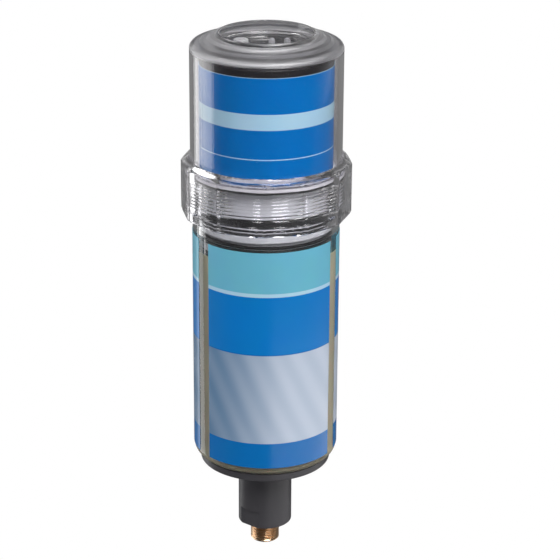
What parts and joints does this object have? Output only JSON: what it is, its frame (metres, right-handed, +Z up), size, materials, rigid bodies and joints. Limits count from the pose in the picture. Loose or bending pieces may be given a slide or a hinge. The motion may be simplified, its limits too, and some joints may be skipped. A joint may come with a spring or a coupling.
{
  "type": "automatic grease lubricator",
  "caption": "Single-point automatic lubricator: clear grease canister on a threaded foot, battery drive under a clear cover held by a twelve-sided ring.",
  "frame": {"origin": "centre of the outlet thread where it leaves the neck's lower face", "axes": "+Z up the axis from the outlet to the cover, -Y the front of the label, +X to the label's right"},
  "size_m": [0.075, 0.075, 0.2428],
  "materials": {
    "brass": "turned",
    "black_plastic": "moulded",
    "clear_plastic": "clear moulding",
    "clear_cover": "clear moulding",
    "printed_label": "printed film",
    "blue_label": "printed film",
    "grease": "soft solid",
    "black_rubber": "moulded",
    "grey_plastic": "moulded",
    "white_nylon": "moulded",
    "steel": "ground",
    "cell_case": "printed can",
    "contact_metal": "plated",
    "board": "lacquered",
    "lamp": "clear",
    "white_plastic": "moulded"
  },
  "bodies": {
    "reservoir": {"outlet_nipple": "brass", "support_flange": "black_plastic", "flange_seal": "black_rubber", "canister": "clear_plastic", "front_label": "printed_label", "rear_label": "printed_label", "grease_charge": "grease", "thrust_washer": "steel", "drive_base": "grey_plastic", "base_seal": "black_rubber", "canister_gasket": "black_rubber", "idler_pin": "steel", "gear_plate": "grey_plastic", "gear_plate_screws": "steel", "motor": "steel", "battery_holder": "black_plastic", "battery_cell_1": "cell_case", "battery_cell_2": "cell_case", "battery_cell_3": "cell_case", "lower_contact": "contact_metal", "upper_contact": "contact_metal", "drive_housing": "black_plastic", "housing_label": "blue_label", "circuit_board": "board", "run_lamp": "lamp", "fault_lamp": "lamp", "dial_switch": "white_plastic"},
    "cover": {"cover": "clear_cover"},
    "ring": {"retaining_ring": "clear_plastic"},
    "spindle": {"spindle": "steel", "output_gear": "white_nylon", "output_shaft": "steel"},
    "piston": {"piston": "grey_plastic", "lower_piston_seal": "black_rubber", "upper_piston_seal": "black_rubber"},
    "idler_gear": {"idler_gear": "white_nylon"},
    "middle_gear": {"middle_gear": "white_nylon"},
    "motor_rotor": {"motor_pinion": "brass", "motor_shaft": "steel"},
    "time_dial": {"time_dial": "white_plastic"}
  },
  "joints": [
    {"name": "spindle_turn", "type": "hinge", "parent": "reservoir", "child": "spindle", "pos_m": [0, 0, 0.146], "axis": [0, 0, 1], "range_deg": [0, 11280]},
    {"name": "piston_slide", "type": "slide", "parent": "reservoir", "child": "piston", "axis": [0, 0, -1], "range_m": [0, 0.09401], "deforming": ["grease_charge"]},
    {"name": "idler_turn", "type": "hinge", "parent": "reservoir", "child": "idler_gear", "pos_m": [0, -0.0129, 0.158], "axis": [0, 0, 1], "range_deg": [-37225, 0]},
    {"name": "middle_turn", "type": "hinge", "parent": "reservoir", "child": "middle_gear", "pos_m": [0, 0, 0.1615], "axis": [0, 0, 1], "range_deg": [0, 122841]},
    {"name": "motor_turn", "type": "hinge", "parent": "reservoir", "child": "motor_rotor", "pos_m": [0, 0.0129, 0.1615], "axis": [0, 0, 1], "range_deg": [-405373, 0]},
    {"name": "dial_turn", "type": "hinge", "parent": "reservoir", "child": "time_dial", "pos_m": [-0.0113, 0.0102, 0.2235], "axis": [0, 0, 1], "continuous": true},
    {"name": "cover_lift", "type": "slide", "parent": "reservoir", "child": "cover", "axis": [0, 0, 1], "range_m": [0, 0.01501]},
    {"name": "ring_turn", "type": "hinge", "parent": "cover", "child": "ring", "pos_m": [0, 0, 0.165], "axis": [0, 0, 1], "range_deg": [0, 1800]}
  ],
  "couplings": [
    {"joint": "piston_slide", "follows": "spindle_turn", "m_per_rad": 0.00047746},
    {"joint": "idler_turn", "follows": "spindle_turn", "ratio": -3.3},
    {"joint": "middle_turn", "follows": "spindle_turn", "ratio": 10.89},
    {"joint": "motor_turn", "follows": "spindle_turn", "ratio": -35.937},
    {"joint": "cover_lift", "follows": "ring_turn", "m_per_rad": 0.00047746}
  ]
}
